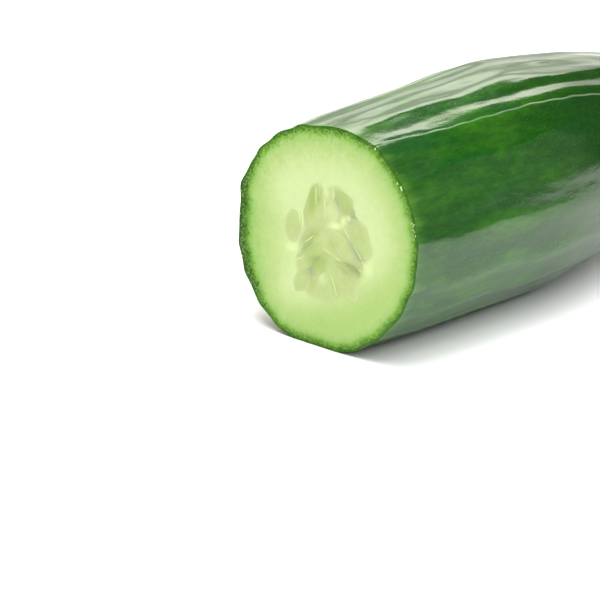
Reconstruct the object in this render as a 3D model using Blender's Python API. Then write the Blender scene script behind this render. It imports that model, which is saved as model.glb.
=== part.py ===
"""Half a slicing cucumber, cut across its thick middle and lying on its side.

The row runs along +X: the cut face looks towards -X and the stem end is at +X. +Z is up, and the
cucumber stands on z = 0. Lengths are in metres, angles in degrees. Angles round the body start at
the viewer's side (-Y), with 90 at the top and 180 on the far side (+Y).

It grew as one piece, so it is one closed body: skin with lengthwise ribs, the flat cut with its
seeds standing a little proud of the flesh, and the short dry stub of the stem.
"""

import math
import random

import bmesh
import bpy

MM = 0.001

# Body: distance from the cut along the axis, and radius there
LENGTH = 150 * MM
PROFILE = (
    (0 * MM, 22.8 * MM),
    (14 * MM, 23.5 * MM),
    (30 * MM, 24.1 * MM),
    (50 * MM, 24.8 * MM),
    (75 * MM, 22.4 * MM),
    (90 * MM, 19.7 * MM),
    (106 * MM, 16.3 * MM),
    (120 * MM, 12.6 * MM),
    (131 * MM, 9.1 * MM),
    (138 * MM, 6.6 * MM),
    (142 * MM, 4.5 * MM),
    (146 * MM, 3.8 * MM),
    (LENGTH, 4.3 * MM),
)
WIDEST = 50 * MM  # up to here the underside follows the floor, past it the axis stays level
BEND = 0.70  # the axis swings to +Y by this times the square of the distance, in 1/m
SETTLE = 0.8 * MM  # the weight flattens the underside by this much
LOBE_ANGLE, LOBE_HALF_WIDTH, LOBE_HEIGHT = 144, 27, 0.95 * MM  # fuller far shoulder at the cut
LOBE_KEPT, LOBE_FADE = 0.3, 30 * MM  # share of the lobe that runs on, and how soon it drops to that

# The cut is not quite square: its viewer's side and its top lean back along the axis
CUT_YAW, CUT_LEAN = 0.159, 0.120
CUT_REACH = 40 * MM  # the slant of the sections dies out over this distance

# Ribs: crest angle at the cut, height there, height once grown, and how many degrees per metre the
# crest turns round the body. The upper ones are placed one by one, and the lower ones stand evenly
# with a little scatter. A height below nothing is a hollow
RIB_TWIST = -140
UPPER_RIBS = (
    (8, 0.12 * MM, 0.35 * MM, RIB_TWIST),
    (25, -0.12 * MM, 0.14 * MM, -100),
    (44, -0.20 * MM, 0.20 * MM, RIB_TWIST),
    (63, 0.45 * MM, 0.60 * MM, -100),
    (81.5, 0.05 * MM, 0.50 * MM, -155),
    (97, -0.05 * MM, 0.35 * MM, RIB_TWIST),
    (112, 0.60 * MM, 0.75 * MM, RIB_TWIST),
    (127, 0.40 * MM, 0.70 * MM, RIB_TWIST),
    (141, 0.50 * MM, 0.80 * MM, RIB_TWIST),
    (152, 0.25 * MM, 0.55 * MM, RIB_TWIST),
    (163, 0.75 * MM, 0.90 * MM, RIB_TWIST),
    (179, 0.10 * MM, 0.40 * MM, RIB_TWIST),
)
LOWER_RIBS_FROM, LOWER_RIBS_TO, LOWER_RIBS = 194, 347, 10
LOWER_RIB_HEIGHT = (0.28 * MM, 0.45 * MM)
RIB_HALF_WIDTH = 5.2
RIB_WANDER, RIB_WAVE = 1.3, 27 * MM  # sideways swing of a crest, and the length of one swing
RIB_GROWTH = 0.25 * MM  # a lower rib stands this much higher once grown
RIB_GROWN = 15 * MM  # the ribs have their full height from here on
RIB_END, RIB_GONE = 128 * MM, 144 * MM  # between these they sink into the neck
SKIN_OFFSET = 0.2 * MM  # the profile runs through the middle height of the ribs

# Stem stub: five-sided, dry, cut off short
STUB_FROM = 140 * MM
STUB_SIDES, STUB_FLUTE = 5, 0.35 * MM
STUB_DISH = 0.5 * MM

# Cut face: seed lobes stand inside this radius, and the flesh outside it is flat
CORE_RADIUS = 13.3 * MM
SEED_HEIGHT = 0.45 * MM
# Seeds: centre to the right and up from the axis, half length, half width, lean to the right
SEEDS = (
    (-8.5, 1.1, 3.2, 2.1, -5),
    (-4.1, 6.4, 4.2, 1.6, 13),
    (1.0, 5.8, 2.6, 1.7, 12),
    (3.8, 8.3, 3.3, 1.8, -48),
    (8.4, 2.0, 4.3, 2.3, -31),
    (5.0, -0.8, 4.9, 1.8, -54),
    (-4.2, -0.3, 2.5, 1.2, 40),
    (-2.8, -3.0, 3.4, 1.7, 52),
    (-0.8, -5.9, 2.8, 1.6, 55),
    (6.4, -4.6, 3.2, 1.1, -80),
    (-4.6, -9.3, 3.4, 1.8, 34),
    (1.4, -10.1, 3.0, 1.8, -8),
    (6.6, -8.2, 3.2, 1.8, -48),
)

# Mesh
AROUND = 96
SPACING = 4 * MM
FIRST_RING = 1.4 * MM
NECK_SPACING = 2 * MM
HALF_FROM, QUARTER_FROM = 136 * MM, 145.5 * MM  # the neck and the stub need fewer points round
CORE_STEP = 0.72 * MM
CORE_FINEST = 0.6  # points in a ring of the core stand no closer than this share of its step
CORE_FEWEST = 6
SHARP = 38  # edges that turn by more than this are shaded sharp, such as the rim of the cut
RIB_SCATTER = 0.12  # share of a step by which a lower rib may stand off its even place
SEED = 7

# Finishes: name, colour, roughness
FINISHES = (
    ("cucumber_skin", (0.028, 0.115, 0.018), 0.28),
    ("cucumber_flesh", (0.68, 0.84, 0.36), 0.35),
    ("cucumber_seed", (0.55, 0.66, 0.27), 0.30),
    ("cucumber_stem", (0.23, 0.27, 0.08), 0.75),
)
SKIN, FLESH, SEED_COAT, STUB = range(len(FINISHES))


def clear_scene():
    """Removes whatever objects the open file holds."""
    for item in list(bpy.data.objects):
        bpy.data.objects.remove(item, do_unlink=True)


def finish(name, colour, roughness):
    """A plain Principled material."""
    material = bpy.data.materials.new(name)
    material.use_nodes = True
    shader = material.node_tree.nodes["Principled BSDF"]
    shader.inputs["Base Color"].default_value = (*colour, 1.0)
    shader.inputs["Roughness"].default_value = roughness
    shader.inputs["Metallic"].default_value = 0.0
    material.diffuse_color = (*colour, 1.0)
    return material


def slope_at(points, index):
    """Slope of a smooth curve through the points, at one of them; its ends keep their own run."""
    before, after = max(index - 1, 0), min(index + 1, len(points) - 1)
    return (points[after][1] - points[before][1]) / (points[after][0] - points[before][0])


def smooth_curve(points, at):
    """Height of the smooth curve through the points, by cubic pieces that share their slopes."""
    index = 0
    while index < len(points) - 2 and at > points[index + 1][0]:
        index += 1
    (x0, y0), (x1, y1) = points[index], points[index + 1]
    run = x1 - x0
    t = min(max((at - x0) / run, 0.0), 1.0)
    rise0, rise1 = slope_at(points, index) * run, slope_at(points, index + 1) * run
    return (
        (2 * t**3 - 3 * t**2 + 1) * y0
        + (t**3 - 2 * t**2 + t) * rise0
        + (3 * t**2 - 2 * t**3) * y1
        + (t**3 - t**2) * rise1
    )


def turn_between(angle, other):
    """Signed turn from one angle to another, from -180 to 180."""
    return (angle - other + 180) % 360 - 180


def make_ribs():
    """Every rib as crest angle, height at the cut and once grown, turn, and where its swing starts."""
    draw = random.Random(SEED)
    ribs = [(*rib, draw.uniform(0, math.tau)) for rib in UPPER_RIBS]
    step = (LOWER_RIBS_TO - LOWER_RIBS_FROM) / (LOWER_RIBS - 1)
    for number in range(LOWER_RIBS):
        angle = LOWER_RIBS_FROM + step * (number + draw.uniform(-RIB_SCATTER, RIB_SCATTER))
        height = draw.uniform(*LOWER_RIB_HEIGHT)
        ribs.append((angle, height, height + RIB_GROWTH, RIB_TWIST, draw.uniform(0, math.tau)))
    return ribs


RIBS = make_ribs()


def relief(along, angle):
    """How far the skin stands out from the plain profile."""
    step = min(along / RIB_GROWN, 1.0)
    grown = step * step * (3 - 2 * step)
    share = min(smooth_curve(PROFILE, along) / PROFILE[0][1], 1.0)
    fade = min(max((RIB_GONE - along) / (RIB_GONE - RIB_END), 0.0), 1.0)
    total = 0.0
    for crest, first, full, twist, start in RIBS:
        swing = RIB_WANDER * math.sin(math.tau * along / RIB_WAVE + start)
        gap = turn_between(angle, crest + twist * along + swing)
        total += (first + (full - first) * grown) * share * math.exp(-((gap / RIB_HALF_WIDTH) ** 2))
    lobe = math.exp(-((turn_between(angle, LOBE_ANGLE) / LOBE_HALF_WIDTH) ** 4))
    kept = LOBE_KEPT + (1 - LOBE_KEPT) * math.exp(-((along / LOBE_FADE) ** 2))
    return (total - SKIN_OFFSET + LOBE_HEIGHT * kept * lobe) * fade


def axis_height(along):
    """Height of the axis over the floor."""
    return smooth_curve(PROFILE, min(along, WIDEST)) - SETTLE


def skin_point(along, angle):
    """A point of the outside, with the underside flattened where it meets the floor."""
    turn = math.radians(angle)
    radius = smooth_curve(PROFILE, along) + relief(along, angle)
    if along >= STUB_FROM:
        radius += STUB_FLUTE * math.cos(STUB_SIDES * turn)
    right, up = radius * math.cos(turn), max(radius * math.sin(turn), -axis_height(along))
    slant = max(1 - along / CUT_REACH, 0.0)
    x = along + slant * (CUT_YAW * right + CUT_LEAN * up)
    return x, BEND * along**2 - right, axis_height(along) + up


def face_point(right, up, proud=0.0):
    """A point of the cut, that far out of its plane."""
    size = math.sqrt(1 + CUT_YAW**2 + CUT_LEAN**2)
    x = CUT_YAW * right + CUT_LEAN * up - proud / size
    return x, -right - proud * CUT_YAW / size, axis_height(0.0) + up + proud * CUT_LEAN / size


def seed_relief(right, up):
    """Height of the seeds over the flesh at a place on the cut."""
    highest = 0.0
    for centre_right, centre_up, half_length, half_width, lean in SEEDS:
        turn = math.radians(lean)
        across, along = right / MM - centre_right, up / MM - centre_up
        u = (across * math.cos(turn) - along * math.sin(turn)) / half_width
        v = (across * math.sin(turn) + along * math.cos(turn)) / half_length
        highest = max(highest, 1 - (u * u + v * v) ** 1.5)
    return SEED_HEIGHT * math.sqrt(highest)


def stations():
    """Distances of the rings of points from the cut."""
    places = [0.0, FIRST_RING]
    while places[-1] + SPACING < HALF_FROM:
        places.append(places[-1] + SPACING)
    while places[-1] + NECK_SPACING < LENGTH:
        places.append(places[-1] + NECK_SPACING)
    return places + [LENGTH]


def points_round(along):
    """How many points a ring of the outside has."""
    if along < HALF_FROM:
        return AROUND
    return AROUND // 2 if along < QUARTER_FROM else AROUND // 4


def add_ring(mesh, count, place):
    """A ring of points, each placed by its angle."""
    return [mesh.verts.new(place(360 * number / count)) for number in range(count)]


def add_face(mesh, corners, finish_index):
    """One face with its finish."""
    mesh.faces.new(corners).material_index = finish_index


def join_rings(mesh, outer, inner, finish_of):
    """Faces between two rings, the second with as many points as the first or half of them."""
    count = len(inner)
    ratio = len(outer) // count
    for number in range(count):
        following = (number + 1) % count
        a, b = inner[number], inner[following]
        if ratio == 1:
            corners = (outer[number], outer[following], b, a)
            add_face(mesh, corners, finish_of(corners))
            continue
        first, middle, last = (outer[(2 * number + step) % len(outer)] for step in range(3))
        for corners in ((first, middle, a), (middle, b, a), (middle, last, b)):
            add_face(mesh, corners, finish_of(corners))


def close_ring(mesh, ring, centre, finish_index):
    """A fan from a ring to one point."""
    middle = mesh.verts.new(centre)
    for number, vertex in enumerate(ring):
        add_face(mesh, (vertex, ring[(number + 1) % len(ring)], middle), finish_index)


def add_outside(mesh):
    """Skin, neck and stub, from the rim of the cut to the end of the stem."""
    rim = previous = add_ring(mesh, AROUND, lambda angle: skin_point(0.0, angle))
    for along in stations()[1:]:
        finish_index = SKIN if along < STUB_FROM + NECK_SPACING else STUB
        ring = add_ring(mesh, points_round(along), lambda angle, at=along: skin_point(at, angle))
        join_rings(mesh, previous, ring, lambda corners, index=finish_index: index)
        previous = ring
    end = (LENGTH - STUB_DISH, BEND * LENGTH**2, axis_height(LENGTH))
    close_ring(mesh, previous, end, STUB)
    return rim


def core_count(radius):
    """Points in a ring of the core, so that they stay about as far apart as the rings."""
    count = AROUND
    while count > CORE_FEWEST and math.tau * radius / count < CORE_FINEST * CORE_STEP:
        count //= 2
    return count


def add_cut(mesh, rim):
    """The cut face: a flat ring of flesh, and the core with its seeds."""

    def core_ring(radius):
        def place(angle):
            right = radius * math.cos(math.radians(angle))
            up = radius * math.sin(math.radians(angle))
            return face_point(right, up, seed_relief(right, up))

        return add_ring(mesh, core_count(radius), place)

    def finish_of(corners):
        height = sum(seed_relief(-v.co.y, v.co.z - axis_height(0.0)) for v in corners)
        return SEED_COAT if height / len(corners) > SEED_HEIGHT / 2 else FLESH

    previous, radius = rim, CORE_RADIUS
    while radius > CORE_STEP / 2:
        ring = core_ring(radius)
        join_rings(mesh, previous, ring, finish_of)
        previous = ring
        radius -= CORE_STEP
    close_ring(mesh, previous, face_point(0.0, 0.0, seed_relief(0.0, 0.0)), FLESH)


def stand_over_origin(mesh):
    """Moves the body so that the middle of its box stands over the origin."""
    for axis in (0, 1):
        places = [vertex.co[axis] for vertex in mesh.verts]
        middle = (min(places) + max(places)) / 2
        for vertex in mesh.verts:
            vertex.co[axis] -= middle


def build_cucumber():
    """The whole body as one object."""
    mesh = bmesh.new()
    rim = add_outside(mesh)
    add_cut(mesh, rim)
    stand_over_origin(mesh)
    bmesh.ops.triangulate(mesh, faces=mesh.faces[:])
    bmesh.ops.recalc_face_normals(mesh, faces=mesh.faces[:])
    data = bpy.data.meshes.new("cucumber")
    mesh.to_mesh(data)
    mesh.free()
    for name, colour, roughness in FINISHES:
        data.materials.append(finish(name, colour, roughness))
    data.shade_smooth()
    data.set_sharp_from_angle(angle=math.radians(SHARP))
    body = bpy.data.objects.new("cucumber", data)
    bpy.context.scene.collection.objects.link(body)
    return body


clear_scene()
build_cucumber()
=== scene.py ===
"""Finished looks of a cut half cucumber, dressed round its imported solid.

The frame is the solid's own: +X runs from the cut face to the stem, +Z is up and the floor is z = 0.
Lengths are in metres and angles in degrees unless told otherwise. Angles round the body start at the
viewer's side (-Y), with 90 at the top and 180 on the far side. Places on the cut face are told as
right and up, from its axis.
"""

import enum
import logging
import math
import random
from dataclasses import dataclass, field, replace
from typing import ClassVar

import bpy
import numpy as np
from mathutils import Matrix, Vector


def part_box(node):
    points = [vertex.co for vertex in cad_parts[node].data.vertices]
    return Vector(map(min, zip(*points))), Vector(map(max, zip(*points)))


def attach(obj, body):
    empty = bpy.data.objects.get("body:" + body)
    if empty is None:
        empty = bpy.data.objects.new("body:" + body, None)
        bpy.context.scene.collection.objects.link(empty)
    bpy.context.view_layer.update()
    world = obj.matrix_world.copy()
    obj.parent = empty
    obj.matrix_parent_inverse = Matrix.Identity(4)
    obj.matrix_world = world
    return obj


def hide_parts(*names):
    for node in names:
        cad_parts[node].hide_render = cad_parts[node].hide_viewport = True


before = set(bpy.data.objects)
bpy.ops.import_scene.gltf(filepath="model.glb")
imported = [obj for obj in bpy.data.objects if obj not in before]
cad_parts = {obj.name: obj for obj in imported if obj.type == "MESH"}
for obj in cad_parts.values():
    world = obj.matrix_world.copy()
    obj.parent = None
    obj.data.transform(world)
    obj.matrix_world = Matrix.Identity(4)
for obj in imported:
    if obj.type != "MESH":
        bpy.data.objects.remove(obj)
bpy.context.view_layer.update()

MM = 0.001
LOG = logging.getLogger("cucumber")
Colour = tuple[float, float, float]
Pairs = tuple[tuple[float, float], ...]
Range = tuple[float, ...]
GrainRange = tuple[Range, float, float]
FAR_GAP = 9  # Millimetres past which the finishes need no distance


def display(red: float, green: float, blue: float) -> Colour:
    """Linear colour of a display colour with parts from 0 to 255."""
    shares = (value / 255 for value in (red, green, blue))
    return tuple(v / 12.92 if v <= 0.04045 else ((v + 0.055) / 1.055) ** 2.4 for v in shares)


def metres(*rows: tuple[float, ...]) -> Pairs:
    """Rows of millimetres, in metres."""
    return tuple(tuple(value * MM for value in row) for row in rows)


def smooth_curve(points: Pairs, at: np.ndarray) -> np.ndarray:
    """Heights of the smooth curve through some points, by cubic pieces that share their slopes.

    Args:
        points: Places and heights that the curve runs through.
        at: Places to read it at.

    Returns:
        The heights there.
    """
    x, y = np.array(points).T
    before, after = np.maximum(np.arange(len(x)) - 1, 0), np.minimum(np.arange(len(x)) + 1, len(x) - 1)
    slope = (y[after] - y[before]) / (x[after] - x[before])
    index = np.clip(np.searchsorted(x, at, side="left") - 1, 0, len(x) - 2)
    run = x[index + 1] - x[index]
    t = np.clip((at - x[index]) / run, 0.0, 1.0)
    return (
        (2 * t**3 - 3 * t**2 + 1) * y[index]
        + (t**3 - 2 * t**2 + t) * slope[index] * run
        + (3 * t**2 - 2 * t**3) * y[index + 1]
        + (t**3 - t**2) * slope[index + 1] * run
    )


def turn_between(angle: np.ndarray, other: np.ndarray | float) -> np.ndarray:
    """Signed turn from one angle to another, from -180 to 180."""
    return (angle - other + 180) % 360 - 180


def ease(value: np.ndarray, low: float, high: float) -> np.ndarray:
    """Rises smoothly from 0 at low to 1 at high."""
    t = np.clip((value - low) / (high - low), 0.0, 1.0)
    return t * t * (3 - 2 * t)


def circle(count: int) -> np.ndarray:
    """Angles of a number of even steps round the body."""
    return np.arange(count) * 360 / count


@dataclass(frozen=True)
class Rib:
    """One lengthwise rib.

    Attributes:
        crest: Angle of its crest at the cut.
        first: Height at the cut.
        full: Height once grown.
        twist: How many degrees per metre its crest turns round the body.
        start: Where its sideways swing starts, in radians.
    """

    crest: float
    first: float
    full: float
    twist: float
    start: float


@dataclass
class Form:
    """The law of the outside, which every piece is placed by."""

    length: float = 150 * MM
    profile: Pairs = metres(
        (0, 22.8), (14, 23.5), (30, 24.1), (50, 24.8), (75, 22.4), (90, 19.7), (106, 16.3), (120, 12.6),
        (131, 9.1), (138, 6.6), (142, 4.5), (146, 3.8), (150, 4.3),
    )
    widest: float = 50 * MM
    bend: float = 0.70
    settle: float = 0.8 * MM
    lobe_angle: float = 144
    lobe_half_width: float = 27
    lobe_height: float = 0.95 * MM
    lobe_kept: float = 0.3
    lobe_fade: float = 30 * MM
    cut_yaw: float = 0.159
    cut_lean: float = 0.120
    cut_reach: float = 40 * MM
    upper_ribs: tuple[tuple[float, float, float, float], ...] = (
        (8, 0.12 * MM, 0.35 * MM, -140),
        (25, -0.12 * MM, 0.14 * MM, -100),
        (44, -0.20 * MM, 0.20 * MM, -140),
        (63, 0.45 * MM, 0.60 * MM, -100),
        (81.5, 0.05 * MM, 0.50 * MM, -155),
        (97, -0.05 * MM, 0.35 * MM, -140),
        (112, 0.60 * MM, 0.75 * MM, -140),
        (127, 0.40 * MM, 0.70 * MM, -140),
        (141, 0.50 * MM, 0.80 * MM, -140),
        (152, 0.25 * MM, 0.55 * MM, -140),
        (163, 0.75 * MM, 0.90 * MM, -140),
        (179, 0.10 * MM, 0.40 * MM, -140),
    )
    lower_ribs: tuple[float, float, int] = (194, 347, 10)
    lower_rib_height: tuple[float, float] = (0.28 * MM, 0.45 * MM)
    rib_half_width: float = 5.2
    rib_twist: float = -140
    rib_wander: float = 1.3
    rib_wave: float = 27 * MM
    rib_growth: float = 0.25 * MM
    rib_grown: float = 15 * MM
    rib_end: float = 128 * MM
    rib_gone: float = 144 * MM
    rib_scatter: float = 0.12
    skin_offset: float = 0.2 * MM
    stub_from: float = 140 * MM
    stub_sides: int = 5
    stub_flute: float = 0.35 * MM
    seed: int = 7
    shift: np.ndarray = field(default_factory=lambda: np.zeros(3))

    def __post_init__(self) -> None:
        """Draws the ribs and stands the form where the solid stands."""
        self.ribs = self.make_ribs()
        along, angle = np.meshgrid(np.linspace(0, self.length, 301), circle(360))
        places = self.skin(along, angle).reshape(-1, 3)
        low, high = (np.array(corner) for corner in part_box("cucumber"))
        self.shift = (low + high) / 2 - (places.min(0) + places.max(0)) / 2
        self.shift[2] = 0.0

    def make_ribs(self) -> list[Rib]:
        """Draws every rib, in the solid's own order.

        Returns:
            The ribs.
        """
        draw = random.Random(self.seed)
        ribs = [Rib(*told, draw.uniform(0, math.tau)) for told in self.upper_ribs]
        first, last, count = self.lower_ribs
        step = (last - first) / (count - 1)
        for number in range(count):
            angle = first + step * (number + draw.uniform(-self.rib_scatter, self.rib_scatter))
            height = draw.uniform(*self.lower_rib_height)
            start = draw.uniform(0, math.tau)
            ribs.append(Rib(angle, height, height + self.rib_growth, self.rib_twist, start))
        return ribs

    def rib_relief(self, along: np.ndarray, angle: np.ndarray) -> np.ndarray:
        """Height of the ribs over the hollows between them.

        Args:
            along: Distances from the cut.
            angle: Angles round the body.

        Returns:
            Heights, before they sink into the neck.
        """
        grown = ease(along, 0.0, self.rib_grown)
        share = np.minimum(smooth_curve(self.profile, along) / self.profile[0][1], 1.0)
        total = np.zeros_like(along)
        for rib in self.ribs:
            swing = self.rib_wander * np.sin(math.tau * along / self.rib_wave + rib.start)
            gap = turn_between(angle, rib.crest + rib.twist * along + swing)
            height = rib.first + (rib.full - rib.first) * grown
            total += height * share * np.exp(-((gap / self.rib_half_width) ** 2))
        return total

    def rib_share(self, along: np.ndarray) -> np.ndarray:
        """How much of the ribs is left on the way into the neck."""
        return np.clip((self.rib_gone - along) / (self.rib_gone - self.rib_end), 0.0, 1.0)

    def axis_height(self, along: np.ndarray | float) -> np.ndarray:
        """Height of the axis over the floor."""
        return smooth_curve(self.profile, np.minimum(along, self.widest)) - self.settle

    def skin(self, along: np.ndarray, angle: np.ndarray, extra: np.ndarray | float = 0.0) -> np.ndarray:
        """Places of the outside.

        Args:
            along: Distances from the cut.
            angle: Angles round the body.
            extra: Height to add to the relief.

        Returns:
            An array with x, y and z along its last axis.
        """
        turn = np.radians(angle)
        lobe = np.exp(-((turn_between(angle, self.lobe_angle) / self.lobe_half_width) ** 4))
        kept = self.lobe_kept + (1 - self.lobe_kept) * np.exp(-((along / self.lobe_fade) ** 2))
        relief = self.rib_relief(along, angle) - self.skin_offset + self.lobe_height * kept * lobe
        radius = smooth_curve(self.profile, along) + relief * self.rib_share(along) + extra
        flutes = self.stub_flute * np.cos(self.stub_sides * turn)
        radius = radius + np.where(along >= self.stub_from, flutes, 0.0)
        right, up = radius * np.cos(turn), np.maximum(radius * np.sin(turn), -self.axis_height(along))
        slant = np.maximum(1 - along / self.cut_reach, 0.0)
        x = along + slant * (self.cut_yaw * right + self.cut_lean * up)
        return np.stack([x, self.bend * along**2 - right, self.axis_height(along) + up], -1) + self.shift

    def rim(self, angle: np.ndarray) -> tuple[np.ndarray, np.ndarray]:
        """Right and up of the cut's outline at some angles."""
        places = self.skin(np.zeros_like(angle), angle) - self.shift
        return -places[..., 1], places[..., 2] - self.axis_height(0.0)

    def cut(self, right: np.ndarray, up: np.ndarray, proud: np.ndarray | float = 0.0) -> np.ndarray:
        """Places on the cut face.

        Args:
            right: Places to the right of the axis.
            up: Places above the axis.
            proud: Heights over the face.

        Returns:
            An array with x, y and z along its last axis.
        """
        size = math.sqrt(1 + self.cut_yaw**2 + self.cut_lean**2)
        x = self.cut_yaw * right + self.cut_lean * up - proud / size
        y = -right - proud * self.cut_yaw / size
        z = self.axis_height(0.0) + up + proud * self.cut_lean / size
        return np.stack([x, y, z], -1) + self.shift

    def cut_axes(self) -> Matrix:
        """Turn from a flat shape (right, up, out of the face) into the frame.

        Returns:
            The turn.
        """
        out = Vector((-1.0, -self.cut_yaw, self.cut_lean)).normalized()
        right = Vector((self.cut_yaw, -1.0, 0.0))
        right = (right - right.dot(out) * out).normalized()
        return Matrix((right, out.cross(right), out)).transposed()

    def axis_point(self, along: float) -> np.ndarray:
        """Place of the axis at a distance from the cut."""
        return np.array([along, self.bend * along**2, float(self.axis_height(along))]) + self.shift


class Value:
    """Output of a node, which takes part in sums."""

    def __init__(self, graph: "Graph", socket: bpy.types.NodeSocket) -> None:
        """Keeps the output and the graph that it is in."""
        self.graph, self.socket = graph, socket

    def __add__(self, other: "Value | float") -> "Value":
        """Sum of this and another number."""
        return self.graph.math("ADD", self, other)

    def __sub__(self, other: "Value | float") -> "Value":
        """This number less another."""
        return self.graph.math("SUBTRACT", self, other)

    def __rsub__(self, other: float) -> "Value":
        """A plain number less this one."""
        return self.graph.math("SUBTRACT", other, self)

    def __mul__(self, other: "Value | float") -> "Value":
        """Product of this and another number."""
        return self.graph.math("MULTIPLY", self, other)

    def __truediv__(self, other: "Value | float") -> "Value":
        """This number over another."""
        return self.graph.math("DIVIDE", self, other)

    def parts(self) -> tuple["Value", ...]:
        """The three parts of a vector."""
        node = self.graph.node("ShaderNodeSeparateXYZ", {0: self})
        return tuple(Value(self.graph, part) for part in node.outputs)


class Graph:
    """Short-hand for the nodes and links of one tree."""

    def __init__(self, tree: bpy.types.NodeTree) -> None:
        """Keeps the tree that the nodes go into."""
        self.tree = tree

    def node(self, kind: str, inputs: dict[int | str, object], **settings: object) -> bpy.types.Node:
        """Adds a node.

        Args:
            kind: Blender's name for its type.
            inputs: Plain values, or outputs to link from, by the input's name or number.
            settings: The node's own properties.

        Returns:
            The new node.
        """
        made = self.tree.nodes.new(kind)
        for name, value in settings.items():
            setattr(made, name, value)
        for key, value in inputs.items():
            if isinstance(value, Value):
                self.tree.links.new(value.socket, made.inputs[key])
            else:
                made.inputs[key].default_value = value
        return made

    def out(self, kind: str, inputs: dict[int | str, object], output: int | str = 0,
            **settings: object) -> Value:
        """One output of a new node, which is told as for node."""
        return Value(self, self.node(kind, inputs, **settings).outputs[output])

    def given(self) -> dict[str, Value]:
        """The tree's own inputs by name."""
        return {output.name: Value(self, output) for output in self.node("NodeGroupInput", {}).outputs}

    def math(self, operation: str, *values: Value | float, clamp: bool = False) -> Value:
        """Output of a Math node."""
        return self.out("ShaderNodeMath", dict(enumerate(values)), operation=operation, use_clamp=clamp)

    def vector(self, operation: str, *values: object) -> Value:
        """Output of a Vector Math node."""
        output = "Value" if operation in ("LENGTH", "DOT_PRODUCT") else "Vector"
        return self.out("ShaderNodeVectorMath", dict(enumerate(values)), output, operation=operation)

    def scale(self, vector: Value | Colour, size: Value | float) -> Value:
        """A vector times a number."""
        return self.out("ShaderNodeVectorMath", {0: vector, "Scale": size}, operation="SCALE")

    def join(self, *parts: Value | float) -> Value:
        """Vector of up to three parts."""
        return self.out("ShaderNodeCombineXYZ", dict(enumerate(parts)))

    def ease(self, value: Value, low: Value | float, high: Value | float, start: float = 0.0,
             end: float = 1.0) -> Value:
        """Smooth step of a value, from start at low to end at high."""
        inputs = {"Value": value, "From Min": low, "From Max": high, "To Min": start, "To Max": end}
        return self.out("ShaderNodeMapRange", inputs, interpolation_type="SMOOTHSTEP")

    def noise(self, place: Value, scale: float, detail: float, roughness: float = 0.5) -> Value:
        """Value of a noise texture, about 0.5 on average."""
        inputs = {"Vector": place, "Scale": scale, "Detail": detail, "Roughness": roughness}
        return self.out("ShaderNodeTexNoise", inputs)

    def mix(self, share: Value, low: Value | Colour, high: Value | Colour) -> Value:
        """Colour between two colours."""
        low, high = ((*colour, 1.0) if isinstance(colour, tuple) else colour for colour in (low, high))
        return self.out("ShaderNodeMix", {0: share, 6: low, 7: high}, 2, data_type="RGBA")

    def attribute(self, name: str, output: str) -> Value:
        """A material's reading of a mesh attribute: its Vector or its Fac."""
        return self.out("ShaderNodeAttribute", {}, output, attribute_name=name)

    def named(self, name: str, kind: str) -> Value:
        """A geometry tree's reading of a mesh attribute."""
        return self.out("GeometryNodeInputNamedAttribute", {"Name": name}, data_type=kind)

    def draw(self, low: object, high: object, seed: Value) -> Value:
        """Random numbers, or random vectors.

        Args:
            low: The lowest, as a number or as a tuple.
            high: The highest, told the same way.
            seed: The seed.

        Returns:
            One for each point.
        """
        first, kind = (0, "FLOAT_VECTOR") if isinstance(low, tuple) else (2, "FLOAT")
        inputs = {first: low, first + 1: high, "Seed": seed}
        return self.out("FunctionNodeRandomValue", inputs, first // 2, data_type=kind)

    def moved(self, geometry: Value, **how: Value) -> Value:
        """Geometry moved by an Offset or to a Position."""
        return self.out("GeometryNodeSetPosition", {"Geometry": geometry} | how)

    def smooth(self, geometry: Value) -> Value:
        """Geometry with smooth shading."""
        return self.out("GeometryNodeSetShadeSmooth", {"Geometry": geometry})

    def scattered(self, points: Value, shape: Value, turn: Value, size: Value, **more: Value) -> Value:
        """Instances of a shape.

        Args:
            points: Where they stand.
            shape: The shape.
            turn: Their turns, as three angles.
            size: Their sizes.
            more: Other inputs of the node.

        Returns:
            The instances.
        """
        turn = self.out("FunctionNodeEulerToRotation", {0: turn})
        inputs = {"Points": points, "Instance": shape, "Rotation": turn, "Scale": size}
        return self.out("GeometryNodeInstanceOnPoints", inputs | more)


def new_sockets(tree: bpy.types.NodeTree, way: str, sockets: dict[str, str]) -> None:
    """Names a tree's inputs or outputs.

    Args:
        tree: The tree.
        way: INPUT or OUTPUT.
        sockets: Kind of each socket, such as Float, by its name.
    """
    for name, kind in sockets.items():
        tree.interface.new_socket(name, in_out=way, socket_type=f"NodeSocket{kind}")


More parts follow.
